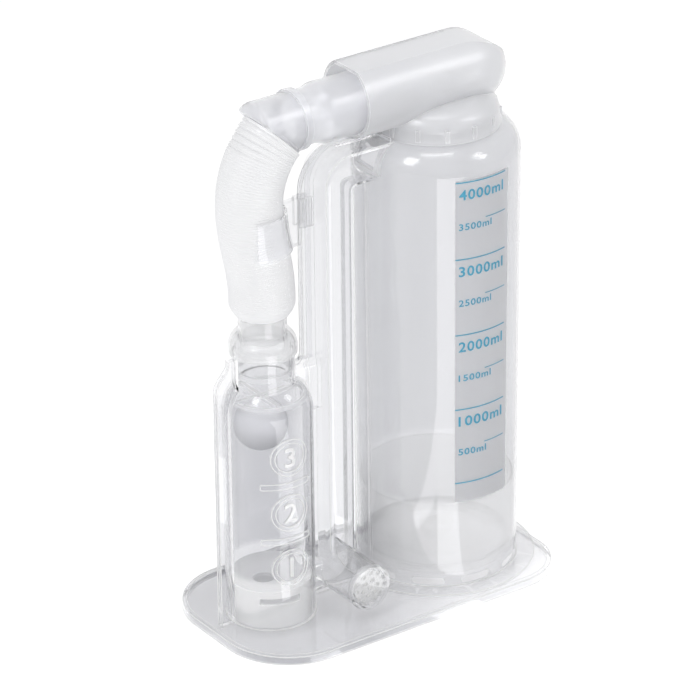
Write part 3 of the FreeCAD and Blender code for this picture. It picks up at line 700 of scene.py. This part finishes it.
def on_chamber(u, v):
    """Points on the ball chamber's wall: u metres round from the middle of the rings, v the height."""
    angle = math.radians(ring_angle) + u / chamber_r
    radius = chamber_r + mark_proud
    return np.stack([chamber_x + radius * np.cos(angle), radius * np.sin(angle), v], -1)


# %% Edges on the chamber: rings and tick bars, white beads that give their ridges and paint their highlights
line_r = 0.00022                                        # radius of the finer beads
ring_radii = (0.0091, 0.0072)
tick_heights, tick_half, tick_corner = (0.0506, 0.0788), 0.0014, 0.00135
tick_from, tick_to = (math.radians(v - ring_angle) * chamber_r for v in (-134.5, -68.0))

circle = np.linspace(0, 2 * np.pi, 48, endpoint=False)
mark_ridges_and_highlights = [bead(on_chamber(r * np.sin(circle), z + r * np.cos(circle)), line_r)
              for z in ring_heights for r in ring_radii]
for z in tick_heights:
    low, high = z - tick_half, z + tick_half
    bar = rounded([(tick_from, low, tick_corner), (tick_to, low, tick_corner),
                   (tick_to, high, tick_corner), (tick_from, high, tick_corner)])
    corner_steps, fine = np.arange(len(bar) + 1), np.linspace(0, len(bar), 120, endpoint=False)
    bar = np.stack([np.interp(fine, corner_steps, np.r_[bar[:, i], bar[0, i]]) for i in (0, 1)], -1)
    mark_ridges_and_highlights.append(bead(on_chamber(bar[:, 0], bar[:, 1]), line_r))
finished(joined("mark_edge_highlights", mark_ridges_and_highlights), painted_highlight_white, "body", "clear_body")


# %% Painted highlight lines of the plate, the chambers' feet and the duct
plate_half_x, plate_half_y = 0.0867, 0.0481
plate_left_r, plate_right_r = 0.034, 0.027              # the plate's corners
flange_half, duct_face = 0.0015, -0.00983               # depths of the flange's edges and the duct's face


def level_ring(x, r, z, steps=96):
    """Circle of radius r about the upright axis at x."""
    t = np.linspace(0, 2 * np.pi, steps, endpoint=False)
    return np.stack([x + r * np.cos(t), r * np.sin(t), z + 0 * t], -1)


def plate_line(inset, z):
    """The plate's outline, drawn in by inset."""
    x, y = plate_half_x - inset, plate_half_y - inset
    left, right = plate_left_r - inset, plate_right_r - inset
    flat = rounded([(-x, -y, left), (x, -y, right), (x, y, right), (-x, y, left)], 16)
    return np.column_stack([flat, np.full(len(flat), z)])


def upright_bead(corners, y):
    """Open bead in an upright plane at depth y, through (x, z, r) corners."""
    flat = rounded(corners)
    return bead(np.column_stack([flat[:, 0], np.full(len(flat), y), flat[:, 1]]), line_r, closed=False)


# %% Painted highlights on the edges of the body
flange_edge = [(-0.0816, plate_top, 0), (-0.0816, 0.127, 0.008),
               (-0.0746, 0.1353, 0.004), (-0.0746, 0.1384, 0)]
window_edge = [(-0.0410, 0.1265, 0), (-0.0342, 0.1265, 0.005),
               (-0.0342, 0.2304, 0.020), (0.0100, 0.2304, 0)]
duct_left = [(-0.02633, 0.0300, 0), (-0.02633, 0.22683, 0.01383), (0.0110, 0.22683, 0)]
duct_right = [(-0.01167, 0.0300, 0), (-0.01167, 0.2090, 0)]

highlight_beads = [bead(plate_line(inset, z), r) for inset, z, r in (
    (0.00030, 0.0040, 0.00028), (0.00015, 0.0004, 0.00028), (0.0021, 0.00445, 0.00018))]
highlight_beads += [bead(level_ring(x, ring_r, z), r) for x, ring_r, z, r in (
    (chamber_x, chamber_r + 0.0001, 0.0046, 0.00030),
    (cylinder_x, 0.0461, 0.0057, 0.00028), (cylinder_x, 0.0380, 0.0060, 0.00025))]
for y in (-flange_half, flange_half):
    highlight_beads += [upright_bead(flange_edge, y), upright_bead(window_edge, y)]
highlight_beads += [upright_bead(duct_left, duct_face), upright_bead(duct_right, duct_face)]
finished(joined("body_edge_highlights", highlight_beads), painted_highlight_white, "body", "clear_body")

# %% [markdown]
# ## The room
#
# A plain white floor carries the object. It is white to the eye and in reflections, and still takes the
# object's pale shadow. The sky is plain white too; the light that falls on surfaces is kept lower.


# %% Floor
def floor_finish():
    """A white floor: part of its white is its own light and the rest falls on it, so that shadows show."""
    paper = Finish("studio_floor", Roughness=0.7, Specular_IOR_Level=0.0,
                   Emission_Color=(1, 1, 1, 1), Emission_Strength=0.49)
    cloud = paper.noise(0.4)
    paper.set(Base_Color=paper.blend(cloud, (0.80, 0.80, 0.80, 1), (0.78, 0.78, 0.78, 1)))
    return paper.material


half = 3.0
corners = [(-half, -half, 0), (half, -half, 0), (half, half, 0), (-half, half, 0)]
floor = piece("floor", corners, [(0, 1, 2, 3)])
floor.data.materials.append(floor_finish())
floor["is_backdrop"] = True

# %% Sky: 1 where it is seen, directly, mirrored or through plastic, and 0.56 as light on surfaces
world = bpy.data.worlds.new("white_room")
world.use_nodes = True
scene.world = world
sky = world.node_tree


def sky_sum(first, second, clamp=False):
    """Sum of two outputs of the sky's nodes."""
    total = sky.nodes.new("ShaderNodeMath")
    total.operation, total.use_clamp = "ADD", clamp
    sky.links.new(first, total.inputs[0])
    sky.links.new(second, total.inputs[1])
    return total.outputs[0]


ray = sky.nodes.new("ShaderNodeLightPath").outputs
seen = sky_sum(ray["Is Camera Ray"], ray["Is Glossy Ray"])
seen = sky_sum(seen, ray["Is Transmission Ray"], clamp=True)
strength = sky.nodes.new("ShaderNodeMapRange")
strength.inputs["To Min"].default_value = 0.56
strength.inputs["To Max"].default_value = 1.0
sky.links.new(seen, strength.inputs["Value"])
sky.links.new(strength.outputs[0], sky.nodes["Background"].inputs["Strength"])
sky.nodes["Background"].inputs["Color"].default_value = (1, 1, 1, 1)

# %% [markdown]
# ## Lamps
#
# Three soft boxes light the object from the left, the right and above. The camera does not see them.

# %% Soft boxes
aim = Vector((0, 0, 0.13))


def softbox(name, azimuth, elevation, distance, width, height, power):
    """An area lamp at an azimuth (0 in front, 90 on the right) and an elevation, aimed at the object."""
    a, e = math.radians(azimuth), math.radians(elevation)
    way = Vector((math.sin(a) * math.cos(e), -math.cos(a) * math.cos(e), math.sin(e)))
    data = bpy.data.lights.new(name, "AREA")
    data.shape = "RECTANGLE"
    data.size, data.size_y, data.energy = width, height, power
    lamp = bpy.data.objects.new(name, data)
    lamp.location = aim + way * distance
    lamp.rotation_euler = way.to_track_quat("Z", "Y").to_euler()
    scene.collection.objects.link(lamp)
    lamp.visible_camera = False


softbox("key", -75, 45, 1.2, 0.30, 0.55, 3.1)
softbox("fill", 40, 40, 1.3, 0.25, 0.5, 2.0)
softbox("top", -20, 80, 1.1, 0.5, 0.25, 1.4)

# %% [markdown]
# ## Cards for the long highlights
#
# The white bands down the cylinders are reflections of two bright cards that lie just over the floor. Each is
# a triangle with its tip on a cylinder's axis, so that its band stays within the same angles at every height.
# Only gloss sees the cards, and they light nothing else.


# %% Reflection cards
def wedge(name, apex, start, stop, bright, far=0.9):
    """Card for reflections only: a triangle from apex to far metres away, between two azimuths."""
    corners = [apex] + [(apex[0] + far * math.cos(a), apex[1] + far * math.sin(a), apex[2])
                        for a in (math.radians(start), math.radians(stop))]
    card = piece(name, corners, [(0, 1, 2)])
    glow = Finish(name, Specular_IOR_Level=0.0, Base_Color=(0, 0, 0, 1),
                  Emission_Color=(1, 1, 1, 1), Emission_Strength=bright)
    glow.material.cycles.emission_sampling = "NONE"
    card.data.materials.append(glow.material)
    card.visible_camera = card.visible_diffuse = card.visible_transmission = card.visible_shadow = False
    card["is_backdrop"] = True


wedge("card_cylinder", (cylinder_x, 0, 0.0006), -124.7, -99.6, 4.4)
wedge("card_chamber", (-0.0535, 0, 0.0004), -101.4, -81.8, 4.2)

# %% [markdown]
# ## Camera
#
# The camera stands where the photograph was taken from: high to the front left, with a long lens.

# %% Camera
lens, distance = 0.2459, 2.18406
yaw, pitch, roll = (math.radians(v) for v in (-35.0144, 26.4259, -0.5973))
look_at = Vector((-0.007354, 0, 0.1244))
back = Vector((math.sin(yaw) * math.cos(pitch), -math.cos(yaw) * math.cos(pitch), math.sin(pitch)))
level_right = Vector((math.cos(yaw), math.sin(yaw), 0))
level_up = back.cross(level_right)
right = math.cos(roll) * level_right + math.sin(roll) * level_up
up = math.cos(roll) * level_up - math.sin(roll) * level_right

camera_data = bpy.data.cameras.new("camera")
camera_data.sensor_width, camera_data.lens, camera_data.clip_end = 36, lens / MM, 20
camera = bpy.data.objects.new("camera", camera_data)
turned = Matrix((right, up, back)).transposed().to_4x4()
camera.matrix_world = Matrix.Translation(look_at + back * distance) @ turned
scene.collection.objects.link(camera)
scene.camera = camera

# %% Sizes, and the end
low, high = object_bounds()
